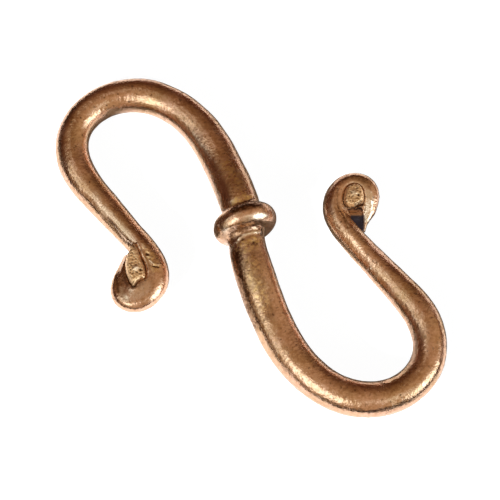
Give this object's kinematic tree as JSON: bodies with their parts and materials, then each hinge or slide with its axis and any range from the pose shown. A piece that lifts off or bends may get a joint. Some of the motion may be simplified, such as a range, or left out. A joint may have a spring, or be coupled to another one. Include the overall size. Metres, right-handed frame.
{
  "type": "hook clasp",
  "caption": "Cast S-shaped hook clasp for a necklace or bracelet, with curled ends, a grain in each curl and a collar round the stem.",
  "frame": {"origin": "middle of the clasp's outline, on the surface that it lies on", "axes": "+X to the right and +Y up as the clasp is seen from above, lying flat, with the collar towards +Y; +Z up, out of the surface"},
  "size_m": [0.0284, 0.0258, 0.0047],
  "materials": {
    "bronze": "satin polished copper-coloured bronze, browner in the hollows, with golden unpolished grains"
  },
  "bodies": {
    "root": {"hook_clasp": "bronze"}
  },
  "joints": []
}
